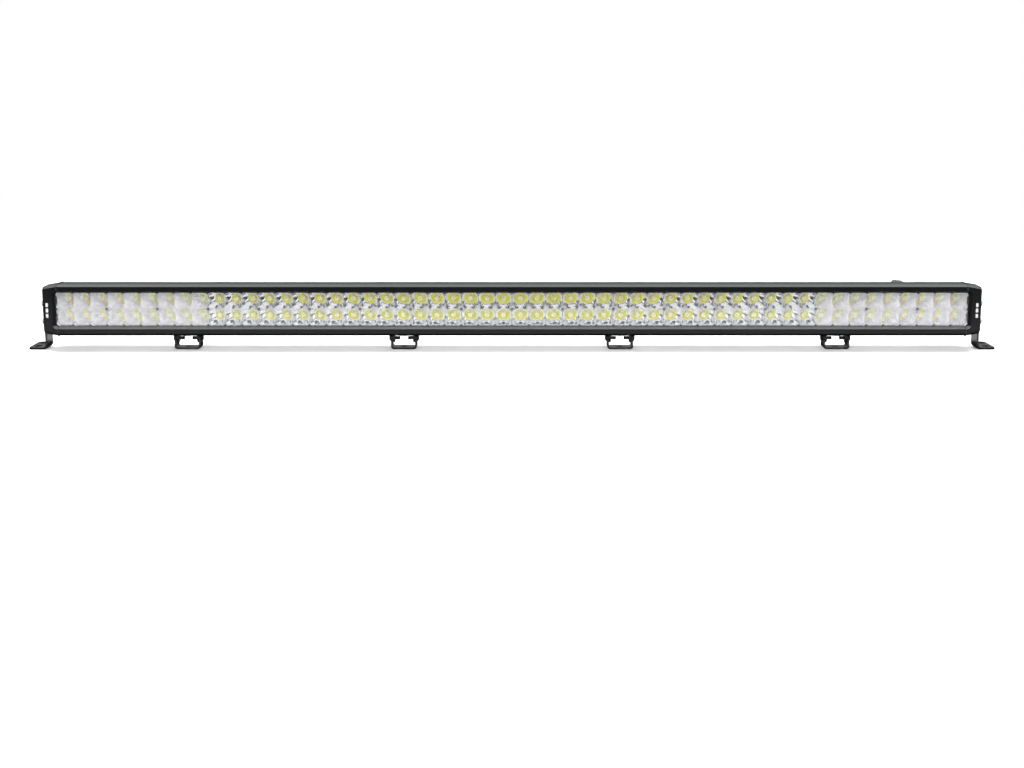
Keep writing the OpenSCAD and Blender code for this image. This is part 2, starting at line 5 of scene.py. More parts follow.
import bmesh
import bpy
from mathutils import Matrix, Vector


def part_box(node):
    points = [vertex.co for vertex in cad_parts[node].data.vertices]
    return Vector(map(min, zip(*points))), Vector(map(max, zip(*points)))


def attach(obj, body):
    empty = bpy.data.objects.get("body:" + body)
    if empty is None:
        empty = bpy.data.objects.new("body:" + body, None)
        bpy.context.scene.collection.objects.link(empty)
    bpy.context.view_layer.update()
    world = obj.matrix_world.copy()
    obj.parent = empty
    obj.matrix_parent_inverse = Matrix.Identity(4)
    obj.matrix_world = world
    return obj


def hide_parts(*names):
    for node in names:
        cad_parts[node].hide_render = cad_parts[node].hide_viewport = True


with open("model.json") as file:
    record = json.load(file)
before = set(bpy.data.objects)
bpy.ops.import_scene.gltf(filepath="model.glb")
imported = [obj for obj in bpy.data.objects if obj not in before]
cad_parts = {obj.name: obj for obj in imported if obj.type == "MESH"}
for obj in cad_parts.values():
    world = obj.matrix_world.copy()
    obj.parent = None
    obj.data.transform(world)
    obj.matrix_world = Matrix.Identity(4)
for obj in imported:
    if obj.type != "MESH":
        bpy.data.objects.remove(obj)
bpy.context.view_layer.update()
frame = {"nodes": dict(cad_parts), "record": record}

MM = 0.001

# ---- Places taken from the frame ----

MODULES = ["flood_reflector_left", "spot_reflector_1", "spot_reflector_2",
           "spot_reflector_3", "spot_reflector_4", "flood_reflector_right"]
BAR = "light_bar"
BLOCK_COLUMNS = 3
ROWS = (-0.5, 0.5)
body_lo, body_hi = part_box("housing")
lens_lo, lens_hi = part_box("lens")
cup_lo, cup_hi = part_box(MODULES[0])
front_y = body_lo.y
mid_z = (body_lo.z + body_hi.z) / 2
pitch = (cup_hi.z - cup_lo.z) / len(ROWS)
half = pitch / 2
columns = round((cup_hi.x - cup_lo.x) / pitch)
blocks = columns // BLOCK_COLUMNS
rim_y = cup_lo.y
board_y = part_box("led_board_1")[0].y


def cup_centres():
    """X and Z of every cup of a module centred on X = 0, column by column."""
    return [((column - (columns - 1) / 2) * pitch, mid_z + row * pitch)
            for column in range(columns) for row in ROWS]


def block_x(block):
    """X of the middle of a three-column block of cups, in a module centred on X = 0."""
    return (block - (blocks - 1) / 2) * BLOCK_COLUMNS * pitch


# ---- Object helpers ----

SHARP_DEG = 30.0


def new_object(name, data):
    obj = bpy.data.objects.new(name, data)
    bpy.context.scene.collection.objects.link(obj)
    return obj


def new_piece(name, mesh, materials, at=(0, 0, 0), sharp_deg=SHARP_DEG):
    """A smooth-shaded piece, sharp at its corners, that rides on the bar."""
    for mat in materials:
        mesh.materials.append(mat)
    mesh.shade_smooth()
    mesh.set_sharp_from_angle(angle=math.radians(sharp_deg))
    obj = new_object(name, mesh)
    obj.location = at
    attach(obj, BAR)
    return obj


def mesh_from(bm, name):
    mesh = bpy.data.meshes.new(name)
    bm.to_mesh(mesh)
    bm.free()
    return mesh


# ---- Materials ----

# Noise stays mostly between these two values, so finishes are spread between them
NOISE_LOW, NOISE_HIGH = 0.3, 0.7
DRIFT_DETAIL, FINE_DETAIL = 4.0, 2.0
COAT_ROUGH = 0.12
BUMP_STRENGTH = 0.6


def new_material(name):
    mat = bpy.data.materials.new(name)
    mat.use_nodes = True
    return mat, mat.node_tree, mat.node_tree.nodes["Principled BSDF"]


def noise(tree, scale, detail):
    """Noise over the object's own coordinates, with cells about 1/scale metres wide."""
    coords = tree.nodes.new("ShaderNodeTexCoord")
    texture = tree.nodes.new("ShaderNodeTexNoise")
    texture.inputs["Scale"].default_value = scale
    texture.inputs["Detail"].default_value = detail
    tree.links.new(coords.outputs["Object"], texture.inputs["Vector"])
    return texture.outputs["Fac"]


def ramp(tree, factor, low, high):
    """Colour that goes from low to high with the noise."""
    node = tree.nodes.new("ShaderNodeValToRGB")
    node.color_ramp.elements[0].position = NOISE_LOW
    node.color_ramp.elements[1].position = NOISE_HIGH
    node.color_ramp.elements[0].color = (*low, 1)
    node.color_ramp.elements[1].color = (*high, 1)
    tree.links.new(factor, node.inputs["Fac"])
    return node.outputs["Color"]


def spread(tree, factor, low, high):
    """Value that goes from low to high with the noise."""
    node = tree.nodes.new("ShaderNodeMapRange")
    node.inputs["From Min"].default_value = NOISE_LOW
    node.inputs["From Max"].default_value = NOISE_HIGH
    node.inputs["To Min"].default_value = low
    node.inputs["To Max"].default_value = high
    tree.links.new(factor, node.inputs["Value"])
    return node.outputs["Result"]


def bump(tree, bsdf, factor, depth):
    node = tree.nodes.new("ShaderNodeBump")
    node.inputs["Strength"].default_value = BUMP_STRENGTH
    node.inputs["Distance"].default_value = depth
    tree.links.new(factor, node.inputs["Height"])
    tree.links.new(node.outputs["Normal"], bsdf.inputs["Normal"])


def finish_material(name, low, high, rough, metallic=0.0, scale=60.0, grain=900.0,
                    grain_depth=0.00003, coat=0.0, specular=0.5):
    """Slow colour drift from low to high, fine grain in the gloss and a shallow bump."""
    mat, tree, bsdf = new_material(name)
    drift = noise(tree, scale, DRIFT_DETAIL)
    fine = noise(tree, grain, FINE_DETAIL)
    tree.links.new(ramp(tree, drift, low, high), bsdf.inputs["Base Color"])
    tree.links.new(spread(tree, fine, *rough), bsdf.inputs["Roughness"])
    bump(tree, bsdf, fine, grain_depth)
    bsdf.inputs["Metallic"].default_value = metallic
    bsdf.inputs["Coat Weight"].default_value = coat
    bsdf.inputs["Coat Roughness"].default_value = COAT_ROUGH
    bsdf.inputs["Specular IOR Level"].default_value = specular
    return mat


# The flare is the sloping band between the front bezel and the lens, and the sill its lower slope;
# the sill is painted a lighter grey as painted light, for the light it catches.
# Its front edge, FLARE_EDGE deep, stays as glossy as the bezel.
FLARE_MARGIN = 0.6 * MM
FLARE_EDGE = 0.35 * MM
SILL_RISE = 4.0 * MM
# Painted light: this grey on the sill, up to SILL_RISE above the lens, stands for the light that the
# lower slope catches from above and in front.
SILL_PAINTED_LIGHT_GREY = (0.105, 0.106, 0.108, 1)
FLARE_ROUGH = 1.0


def flare_zone(tree, top):
    """1 on the slopes between the front bezel and the lens, below the height top, and 0 elsewhere."""
    coords = tree.nodes.new("ShaderNodeTexCoord")
    split = tree.nodes.new("ShaderNodeSeparateXYZ")
    tree.links.new(coords.outputs["Object"], split.inputs["Vector"])
    tests = [("X", "COMPARE", 0.0, lens_hi.x + FLARE_MARGIN),
             ("Y", "LESS_THAN", lens_lo.y, None),
             ("Y", "GREATER_THAN", front_y + FLARE_EDGE, None),
             ("Z", "LESS_THAN", top, None),
             ("Z", "GREATER_THAN", lens_lo.z - FLARE_MARGIN, None)]
    factor = None
    for axis, operation, value, reach in tests:
        test = tree.nodes.new("ShaderNodeMath")
        test.operation = operation
        tree.links.new(split.outputs[axis], test.inputs[0])
        test.inputs[1].default_value = value
        if reach is not None:
            test.inputs[2].default_value = reach
        if factor is None:
            factor = test.outputs["Value"]
            continue
        both = tree.nodes.new("ShaderNodeMath")
        both.operation = "MULTIPLY"
        tree.links.new(factor, both.inputs[0])
        tree.links.new(test.outputs["Value"], both.inputs[1])
        factor = both.outputs["Value"]
    return factor


def flare_matte_and_painted_sill_light(mat):
    """Turns the slopes round the lens matte, and paints the sill under it grey as painted light, for
    the light that the lower slope catches.
    """
    tree = mat.node_tree
    bsdf = tree.nodes["Principled BSDF"]
    # Painted light: the sill zone gets a grey that stands for light falling on the lower slope.
    painted_lit_sill = flare_zone(tree, lens_lo.z + SILL_RISE)
    slopes = flare_zone(tree, lens_hi.z + FLARE_MARGIN)
    for name, kind, zone, value in (("Base Color", "RGBA", painted_lit_sill, SILL_PAINTED_LIGHT_GREY),
                                    ("Roughness", "FLOAT", slopes, FLARE_ROUGH)):
        source = bsdf.inputs[name].links[0].from_socket
        mix = tree.nodes.new("ShaderNodeMix")
        mix.data_type = kind
        factor, first, second = [socket for socket in mix.inputs if socket.enabled]
        tree.links.new(zone, factor)
        tree.links.new(source, first)
        second.default_value = value
        out = next(socket for socket in mix.outputs if socket.enabled)
        tree.links.new(out, bsdf.inputs[name])


POWDER = finish_material("powder_coat", (0.0025, 0.0028, 0.0032), (0.0045, 0.005, 0.0055),
                         (0.14, 0.2), grain=1400.0, grain_depth=0.000004, specular=0.25)
CAP = finish_material("cap_coat", (0.0025, 0.0028, 0.0032), (0.0045, 0.005, 0.0055), (0.17, 0.24),
                      grain=1100.0, grain_depth=0.000006, specular=0.25)
# Both coats get matte slopes and the painted light on the sill.
flare_matte_and_painted_sill_light(POWDER)
flare_matte_and_painted_sill_light(CAP)
PAINT = finish_material("gloss_black_paint", (0.006, 0.006, 0.007), (0.012, 0.012, 0.013),
                        (0.16, 0.26), scale=40.0, grain=500.0, grain_depth=0.00002)
RUBBER = finish_material("silicone", (0.008, 0.008, 0.009), (0.016, 0.016, 0.017), (0.62, 0.78),
                         scale=90.0, grain=700.0)
NYLON = finish_material("black_nylon", (0.012, 0.012, 0.013), (0.02, 0.02, 0.021), (0.42, 0.55),
                        scale=120.0, grain=1200.0)
OXIDE = finish_material("black_oxide", (0.008, 0.008, 0.009), (0.02, 0.019, 0.018), (0.3, 0.42),
                        metallic=0.4, scale=200.0)
ZINC = finish_material("zinc", (0.52, 0.53, 0.55), (0.66, 0.67, 0.68), (0.2, 0.34), metallic=1.0,
                       scale=220.0, grain=1500.0, grain_depth=0.00001)
BOARD = finish_material("white_mask", (0.88, 0.86, 0.76), (0.95, 0.93, 0.84), (0.35, 0.45))
GREEN = finish_material("green_mask", (0.01, 0.08, 0.035), (0.02, 0.12, 0.05), (0.3, 0.4))
SPOT_CHROME = finish_material("spot_chrome", (0.79, 0.79, 0.81), (0.87, 0.87, 0.88),
                              (0.03, 0.07), metallic=1.0, scale=80.0, grain=500.0,
                              grain_depth=0.000002)
FLOOD_CHROME = finish_material("flood_chrome", (0.87, 0.86, 0.87), (0.96, 0.95, 0.965),
                               (0.09, 0.14), metallic=1.0, scale=80.0, grain=1200.0,
                               grain_depth=0.00001)


def phosphor_material(name, low, high, painted_glow_strength):
    """Yellow phosphor gel with a painted glow, a weak emission in its own colour, so it shows a
    little brighter than its own colour under white light.
    """
    mat = finish_material(name, low, high, (0.3, 0.4), scale=900.0, grain=3000.0, coat=0.4)
    bsdf = mat.node_tree.nodes["Principled BSDF"]
    # Painted glow on an unlit lamp: this emission brightens the gel beyond the light that falls on
    # it.
    bsdf.inputs["Emission Color"].default_value = (*high, 1)
    bsdf.inputs["Emission Strength"].default_value = painted_glow_strength
    return mat


# Both gels carry a painted glow, weaker on the pale one.
PHOSPHOR = phosphor_material("phosphor", (0.68, 0.68, 0.03), (0.78, 0.77, 0.05), 0.35)
PALE_PHOSPHOR = phosphor_material("pale_phosphor", (0.7, 0.72, 0.3), (0.78, 0.8, 0.38), 0.2)
TIP = finish_material("dome_tip", (0.82, 0.66, 0.6), (0.9, 0.78, 0.7), (0.15, 0.25), scale=900.0,
                      grain=3000.0, coat=0.8)
# Dark dot at the very top of each dome.
DOME_DOT = finish_material("dome_dot", (0.04, 0.03, 0.03), (0.08, 0.06, 0.06), (0.4, 0.5),
                       scale=900.0)
CERAMIC = finish_material("package", (0.84, 0.8, 0.36), (0.9, 0.86, 0.46), (0.35, 0.5),
                          scale=700.0)
MARKING = finish_material("white_print", (0.6, 0.61, 0.62), (0.68, 0.69, 0.7), (0.4, 0.5),
                          scale=300.0)

LENS_REFLECTS = 0.075
LENS_GRAZING_POWER = 5.0
LENS_GRAIN = 25.0
LENS_ROUGH = (0.01, 0.04)
LENS_GLOSS_TINT = (0.96, 0.97, 0.98, 1)
LENS_CLEAR_TINT = (0.985, 0.99, 0.99, 1)


def lens_material():
    """Clear plate: see-through, with a sharp reflection that grows towards grazing angles."""
    mat, tree, bsdf = new_material("clear_lens")
    fine = noise(tree, LENS_GRAIN, FINE_DETAIL)
    bsdf.inputs["Base Color"].default_value = LENS_GLOSS_TINT
    bsdf.inputs["Metallic"].default_value = 1.0
    tree.links.new(spread(tree, fine, *LENS_ROUGH), bsdf.inputs["Roughness"])
    clear = tree.nodes.new("ShaderNodeBsdfTransparent")
    clear.inputs["Color"].default_value = LENS_CLEAR_TINT
    facing = tree.nodes.new("ShaderNodeLayerWeight")
    # At this blend, Facing is 1 less the cosine of the angle
    facing.inputs["Blend"].default_value = 0.5
    rise = tree.nodes.new("ShaderNodeMath")
    rise.operation = "POWER"
    rise.inputs[1].default_value = LENS_GRAZING_POWER
    total = tree.nodes.new("ShaderNodeMath")
    total.operation = "MULTIPLY_ADD"
    total.inputs[1].default_value = 1 - LENS_REFLECTS
    total.inputs[2].default_value = LENS_REFLECTS
    mix = tree.nodes.new("ShaderNodeMixShader")
    tree.links.new(facing.outputs["Facing"], rise.inputs[0])
    tree.links.new(rise.outputs["Value"], total.inputs[0])
    tree.links.new(total.outputs["Value"], mix.inputs["Fac"])
    tree.links.new(clear.outputs["BSDF"], mix.inputs[1])
    tree.links.new(bsdf.outputs["BSDF"], mix.inputs[2])
    tree.links.new(mix.outputs["Shader"], tree.nodes["Material Output"].inputs["Surface"])
    return mat


LENS = lens_material()

# ---- Reflector cups: parabolas, plain in the spot modules and fluted in the flood modules ----

CUP_RIM_R = 13.8 * MM
CUP_FOCAL = 1.95 * MM
THROAT_R = 2.5 * MM
CUP_RINGS = 10
SPOT_STEPS = 4
FLOOD_STEPS = 8
FLOOD_FLUTES = 24
FLUTE_DEPTH = 0.45 * MM
# The flutes rise over the first fifth of the way from throat to rim and run out over the last
FLUTE_ENDS = 5
BLOCK_GAP = 0.1 * MM
WELD_DISTANCE = 0.02 * MM
RIM_TOLERANCE = 0.01 * MM
DIAMOND_REACH = 0.4 * half
SHELL_T = 0.7 * MM
vertex_y = rim_y + CUP_RIM_R ** 2 / (4 * CUP_FOCAL)


def cup_angles(steps):
    """Angles round a cup with a sample exactly where the round rim meets each side of its cell."""
    corner = math.acos(half / CUP_RIM_R)
    breaks = [0, corner, math.pi / 2 - corner, math.pi / 2]
    first = [a + (b - a) * i / steps for a, b in zip(breaks, breaks[1:]) for i in range(steps)]
    return [quarter * math.pi / 2 + a for quarter in range(4) for a in first]


def cup_grid(cx, cz, steps, flutes, verts, faces):
    """Adds one parabolic cup, clipped to its square cell, opening towards -Y."""
    angles = cup_angles(steps)
    start = len(verts)
    for ring in range(CUP_RINGS + 1):
        t = ring / CUP_RINGS
        for a in angles:
            limit = min(CUP_RIM_R, half / max(abs(math.cos(a)), abs(math.sin(a))))
            r = THROAT_R + (limit - THROAT_R) * t
            y = vertex_y - r * r / (4 * CUP_FOCAL)
            if flutes:
                rise = (FLUTE_DEPTH * (0.5 - 0.5 * math.cos(flutes * a))
                        * min(1, FLUTE_ENDS * t, FLUTE_ENDS * (1 - t)))
                slope = r / (2 * CUP_FOCAL)
                y -= rise / math.hypot(1, slope)
                r -= rise * slope / math.hypot(1, slope)
            verts.append((cx + r * math.cos(a), y, cz + r * math.sin(a)))
    count = len(angles)
    for ring in range(CUP_RINGS):
        for i in range(count):
            j = (i + 1) % count
            a, b = start + ring * count + i, start + ring * count + j
            c, d = b + count, a + count
            faces.append((a, b, c, d))


def pull_into_blocks(verts):
    """Keeps each cup inside its own block, so that a fine joint shows between blocks."""
    reach = BLOCK_COLUMNS * half - BLOCK_GAP
    per_block = len(verts) // blocks
    for index, vert in enumerate(verts):
        middle = block_x(index // per_block)
        vert.co.x = middle + max(-reach, min(reach, vert.co.x - middle))


def close_diamonds(bm):
    """Closes the flat diamond that the round rims of four neighbouring cups leave."""
    for block in range(blocks):
        for side in (-1, 1):
            centre_x = block_x(block) + side * half
            rim = [v for v in bm.verts if abs(v.co.y - rim_y) < RIM_TOLERANCE
                   and abs(v.co.x - centre_x) < DIAMOND_REACH
                   and abs(v.co.z - mid_z) < DIAMOND_REACH]
            rim.sort(key=lambda v: math.atan2(v.co.z - mid_z, v.co.x - centre_x))
            bm.faces.new(rim)


def module_mesh(name, steps, flutes):
    """Three-column blocks of cups side by side, for a module centred on X = 0."""
    verts, faces = [], []
    for x, z in cup_centres():
        cup_grid(x, z, steps, flutes, verts, faces)
    bm = bmesh.new()
    made = [bm.verts.new(v) for v in verts]
    for face in faces:
        bm.faces.new([made[i] for i in face])
    pull_into_blocks(made)
    bmesh.ops.remove_doubles(bm, verts=bm.verts, dist=WELD_DISTANCE)
    close_diamonds(bm)
    bmesh.ops.recalc_face_normals(bm, faces=bm.faces)
    backward = sum(face.normal.y > 0 for face in bm.faces)
    if backward > len(bm.faces) / 2:
        bmesh.ops.reverse_faces(bm, faces=bm.faces)
    return mesh_from(bm, name)


spot_mesh = module_mesh("spot_cups", SPOT_STEPS, 0)
flood_mesh = module_mesh("flood_cups", FLOOD_STEPS, FLOOD_FLUTES)
for number, node in enumerate(MODULES, 1):
    lo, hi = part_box(node)
    if node.startswith("flood"):
        source, metal, slot = flood_mesh, FLOOD_CHROME, "flood_reflector"
    else:
        source, metal, slot = spot_mesh, SPOT_CHROME, "spot_reflector"
    cups = new_piece(f"cups_{number}", source.copy(), [metal], at=((lo.x + hi.x) / 2, 0, 0))
    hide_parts(node)
    shell = cups.modifiers.new("thickness", "SOLIDIFY")
    shell.thickness = SHELL_T
    shell.offset = -1

# ---- Lamps: square package under a phosphor dome with a pale tip and a dark dot at its top ----

PACKAGE = 3.5 * MM
PACKAGE_T = 0.7 * MM
DOME_R = 1.65 * MM
DOME_STEPS = 9
DOME_SIDES = 24
TIP_FROM = 6
DOT_FROM = 8
LAMP_SHARP_DEG = 40.0
GEL_INDEX, TIP_INDEX, DOT_INDEX, CERAMIC_INDEX = range(4)
PACKAGE_QUADS = [(0, 1, 5, 4), (1, 2, 6, 5), (2, 3, 7, 6), (3, 0, 4, 7), (4, 5, 6, 7), (3, 2, 1, 0)]


def lamp(bm, x, z):
    """Adds one package and its dome."""
    top = board_y - PACKAGE_T
    reach = PACKAGE / 2
    base = [bm.verts.new((x + sx * reach, y, z + sz * reach)) for y in (board_y, top)
            for sx, sz in ((-1, -1), (1, -1), (1, 1), (-1, 1))]
    for quad in PACKAGE_QUADS:
        bm.faces.new([base[i] for i in quad]).material_index = CERAMIC_INDEX
    rings = []
    for step in range(DOME_STEPS):
        tilt = math.pi / 2 * step / DOME_STEPS
        r, rise = DOME_R * math.cos(tilt), DOME_R * math.sin(tilt)
        rings.append([bm.verts.new((x + r * math.cos(a), top - rise, z + r * math.sin(a)))
                      for a in (2 * math.pi * i / DOME_SIDES for i in range(DOME_SIDES))])
    peak = bm.verts.new((x, top - DOME_R, z))
    for step, (low, high) in enumerate(zip(rings, rings[1:])):
        index = GEL_INDEX if step < TIP_FROM else TIP_INDEX if step < DOT_FROM else DOT_INDEX
        for i in range(DOME_SIDES):
            j = (i + 1) % DOME_SIDES
            bm.faces.new((low[i], low[j], high[j], high[i])).material_index = index
    for i in range(DOME_SIDES):
        face = bm.faces.new((rings[-1][i], rings[-1][(i + 1) % DOME_SIDES], peak))
        face.material_index = DOT_INDEX


def lamps_mesh():
    """The lamps of one module centred on X = 0, one in the throat of each cup."""
    bm = bmesh.new()
    for x, z in cup_centres():
        lamp(bm, x, z)
    bmesh.ops.recalc_face_normals(bm, faces=bm.faces)
    return mesh_from(bm, "lamps")


lamp_source = lamps_mesh()
for number, node in enumerate(MODULES, 1):
    lo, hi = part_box(node)
    gel = PALE_PHOSPHOR if node.startswith("flood") else PHOSPHOR
    lamps = new_piece(f"lamps_{number}", lamp_source.copy(), [gel, TIP, DOME_DOT, CERAMIC],
                      at=((lo.x + hi.x) / 2, 0, 0), sharp_deg=LAMP_SHARP_DEG)
    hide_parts(f"leds_{number}")

# ---- Plain printed dashes on the caps ----

DASH_W, DASH_H, DASH_STEP = 3.2 * MM, 5.4 * MM, 7.4 * MM
DASH_T, DASH_SINK = 0.08 * MM, 0.05 * MM
DASH_CORNER = 0.8 * MM
DASH_CORNER_STEPS = 4
DASH_INSET = 6.2 * MM


def dash_outline():
    """Points round a rectangle with rounded corners, anticlockwise, in X and Z."""
    outline = []
    for sx, sz, turn in ((1, 1, 0), (-1, 1, 1), (-1, -1, 2), (1, -1, 3)):
        for step in range(DASH_CORNER_STEPS + 1):
            a = (turn + step / DASH_CORNER_STEPS) * math.pi / 2
            outline.append((sx * (DASH_W / 2 - DASH_CORNER) + DASH_CORNER * math.cos(a),
                            sz * (DASH_H / 2 - DASH_CORNER) + DASH_CORNER * math.sin(a)))
    return outline


def dashes(end, side):
    """Three dashes, one above the other, on the front of the end cap at one side."""
    cap_lo, cap_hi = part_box(f"end_cap_{end}")
    cx = side * (max(abs(cap_lo.x), abs(cap_hi.x)) - DASH_INSET)
    outline = dash_outline()
    count = len(outline)
    verts, faces = [], []
    for row in (-1, 0, 1):
        start = len(verts)
        for y in (cap_lo.y + DASH_SINK, cap_lo.y - DASH_T):
            verts += [(cx + u, y, mid_z + row * DASH_STEP + w) for u, w in outline]
        faces += [(start + i, start + (i + 1) % count, start + count + (i + 1) % count,
                   start + count + i) for i in range(count)]
        faces.append(tuple(start + count + i for i in range(count)))
        faces.append(tuple(start + i for i in reversed(range(count))))
    mesh = bpy.data.meshes.new(f"cap_dashes_{end}")
    mesh.from_pydata(verts, [], faces)
    new_piece(f"cap_dashes_{end}", mesh, [MARKING])


dashes("left", -1)
dashes("right", 1)

# ---- CAD nodes that keep their shape ----

FINISHES = {
    "black_powder_coat": POWDER, "cap_black": CAP, "seal_rubber": RUBBER, "clear_lens": LENS,
    "led_board": BOARD, "circuit_board": GREEN, "gland_plastic": NYLON, "stainless": ZINC,
    "bracket_black": PAINT, "black_screws": OXIDE, "flood_reflector": FLOOD_CHROME,
    "spot_reflector": SPOT_CHROME, "led_phosphor": PHOSPHOR,
}
EDGE_ROUND_MM = {"black_powder_coat": 0.35, "cap_black": 0.5, "bracket_black": 0.4,
                 "stainless": 0.2, "black_screws": 0.2, "gland_plastic": 0.25}
EDGE_WELD = 0.002 * MM
EDGE_SEGMENTS = 2
EDGE_FROM_DEG = 32
FULL_WEIGHT = 100


def round_edges(obj, width):
    """Small rounds on the sharp edges, with flat faces left evenly shaded."""
    weld = obj.modifiers.new("weld", "WELD")
    weld.merge_threshold = EDGE_WELD
    rounding = obj.modifiers.new("edges", "BEVEL")
    rounding.width = width
    rounding.segments = EDGE_SEGMENTS
    rounding.limit_method = "ANGLE"
    rounding.angle_limit = math.radians(EDGE_FROM_DEG)
    even = obj.modifiers.new("even_shading", "WEIGHTED_NORMAL")
    even.mode = "FACE_AREA"
    even.weight = FULL_WEIGHT


slot_of = {row["node"]: row["material_slot"] for row in frame["record"]["subparts"]}
for node, obj in frame["nodes"].items():
    slot = slot_of[node]
    for material_slot in obj.material_slots:
        material_slot.material = FINISHES[slot]
    if slot in EDGE_ROUND_MM:
        round_edges(obj, EDGE_ROUND_MM[slot] * MM)

# ---- Stage ----

CARD_GREY = (0.8, 0.8, 0.8)
FLOOR_GREY = (0.9, 0.9, 0.9)
CARD_HALF_W = 1.6
CARD_NOISE = 1.5
CARD_DRIFT = 1.01
CARD_ROUGH = 0.8
CARD_SPECULAR = 0.2


def card(name, corners, colour=CARD_GREY):
    """A matte pale stage card."""
    mesh = bpy.data.meshes.new(name)
    mesh.from_pydata(corners, [], [(0, 1, 2, 3)])
    obj = new_object(name, mesh)
    mat, tree, bsdf = new_material(name)
    shade = noise(tree, CARD_NOISE, FINE_DETAIL)
    paler = [channel * CARD_DRIFT for channel in colour]
    tree.links.new(ramp(tree, shade, colour, paler), bsdf.inputs["Base Color"])
    bsdf.inputs["Roughness"].default_value = CARD_ROUGH
    bsdf.inputs["Specular IOR Level"].default_value = CARD_SPECULAR
    mesh.materials.append(mat)
    return obj


def level_card(name, x_lo, x_hi, y_lo, y_hi, z, colour=CARD_GREY):
    return card(name, [(x_lo, y_lo, z), (x_hi, y_lo, z), (x_hi, y_hi, z), (x_lo, y_hi, z)], colour)


def glow(obj, radiance=1.0):
    """Turns a stage card into an even light; returns its strength socket, for a graded one."""
    tree = obj.data.materials[0].node_tree
    light = tree.nodes.new("ShaderNodeEmission")
    light.inputs["Strength"].default_value = radiance
    tree.links.new(light.outputs["Emission"], tree.nodes["Material Output"].inputs["Surface"])
    return light.inputs["Strength"]


def only_for(obj, camera=False, glossy=False):
    """Hides a card from everything but the camera or the reflections."""
    obj.visible_camera = camera
    obj.visible_glossy = glossy
    obj.visible_diffuse = False
    obj.visible_transmission = False
    obj.visible_shadow = False


FLOOR_REACH = 12.0
FLOOR_LIT_TO, FLOOR_EVEN_FROM = 0.9, 1.5


def lay_floor():
    """The floor takes the light and shadow near the bar; further out it is an even pale tone."""
    floor = level_card("floor", -FLOOR_REACH, FLOOR_REACH, -FLOOR_REACH, FLOOR_REACH, 0, FLOOR_GREY)
    floor.visible_glossy = False
    floor.visible_diffuse = False
    tree = floor.data.materials[0].node_tree
    coords = tree.nodes.new("ShaderNodeTexCoord")
    radius = tree.nodes.new("ShaderNodeVectorMath")
    radius.operation = "LENGTH"
    fade = tree.nodes.new("ShaderNodeMapRange")
    fade.interpolation_type = "SMOOTHSTEP"
    fade.inputs["From Min"].default_value = FLOOR_LIT_TO
    fade.inputs["From Max"].default_value = FLOOR_EVEN_FROM
    mix = tree.nodes.new("ShaderNodeMixShader")
    even = tree.nodes.new("ShaderNodeEmission")
    tree.links.new(coords.outputs["Object"], radius.inputs[0])
    tree.links.new(radius.outputs["Value"], fade.inputs["Value"])
    tree.links.new(fade.outputs["Result"], mix.inputs["Fac"])
    tree.links.new(tree.nodes["Principled BSDF"].outputs["BSDF"], mix.inputs[1])
    tree.links.new(even.outputs["Emission"], mix.inputs[2])
    tree.links.new(mix.outputs["Shader"], tree.nodes["Material Output"].inputs["Surface"])


SWEEP_SIDES = 48
SWEEP_R = 11.5
SWEEP_LOW, SWEEP_HIGH = -0.01, 9.0


def raise_sweep():
    """Pale round wall that only the camera sees, behind everything."""
    mesh = bpy.data.meshes.new("sweep")
    turns = [2 * math.pi * i / SWEEP_SIDES for i in range(SWEEP_SIDES)]
    verts = [(SWEEP_R * math.cos(a), SWEEP_R * math.sin(a), z)
             for z in (SWEEP_LOW, SWEEP_HIGH) for a in turns]
    faces = []
    for i in range(SWEEP_SIDES):
        j = (i + 1) % SWEEP_SIDES
        faces.append((i, j, j + SWEEP_SIDES, i + SWEEP_SIDES))
    mesh.from_pydata(verts, [], faces)
    sweep = new_object("sweep", mesh)
    mesh.materials.append(new_material("sweep")[0])
    glow(sweep)
    only_for(sweep, camera=True)


STRIP_NEAR, STRIP_FAR = front_y - 0.02, front_y - 1.2
STRIP_Z = 0.0005
# Radiance by share of the way from the near edge to the far edge
STRIP_STOPS = [(0.0, 1.3), (0.2, 1.2), (0.29, 0.75), (0.35, 0.6), (0.44, 0.1), (1.0, 0.05)]
STRIP_MAX = 4.0


def lay_strip():
    """Lit strip of floor in front of the bar, seen in reflections only; it fades with distance."""
    strip = level_card("strip", -CARD_HALF_W, CARD_HALF_W, STRIP_FAR, STRIP_NEAR, STRIP_Z)
    strength = glow(strip)
    tree = strip.data.materials[0].node_tree
    coords = tree.nodes.new("ShaderNodeTexCoord")
    split = tree.nodes.new("ShaderNodeSeparateXYZ")
    share = tree.nodes.new("ShaderNodeMapRange")
    share.inputs["From Min"].default_value = STRIP_NEAR
    share.inputs["From Max"].default_value = STRIP_FAR
    fade = tree.nodes.new("ShaderNodeValToRGB")
    while len(fade.color_ramp.elements) < len(STRIP_STOPS):
        fade.color_ramp.elements.new(0.5)
    for element, (position, value) in zip(fade.color_ramp.elements, STRIP_STOPS):
        element.position = position
        element.color = (value / STRIP_MAX,) * 3 + (1,)
    scale = tree.nodes.new("ShaderNodeMath")
    scale.operation = "MULTIPLY"
    scale.inputs[1].default_value = STRIP_MAX
    tree.links.new(coords.outputs["Object"], split.inputs["Vector"])
    tree.links.new(split.outputs["Y"], share.inputs["Value"])
    tree.links.new(share.outputs["Result"], fade.inputs["Fac"])
    tree.links.new(fade.outputs["Color"], scale.inputs[0])
    tree.links.new(scale.outputs["Value"], strength)
    only_for(strip, glossy=True)


SIDE_NEAR, SIDE_FAR, SIDE_FRONT = 0.72, 1.9, -0.3
BACK_NEAR, BACK_REACH = body_hi.y + 0.02, 1.2
AROUND_Z = 0.001
AROUND_RADIANCE = 1.0


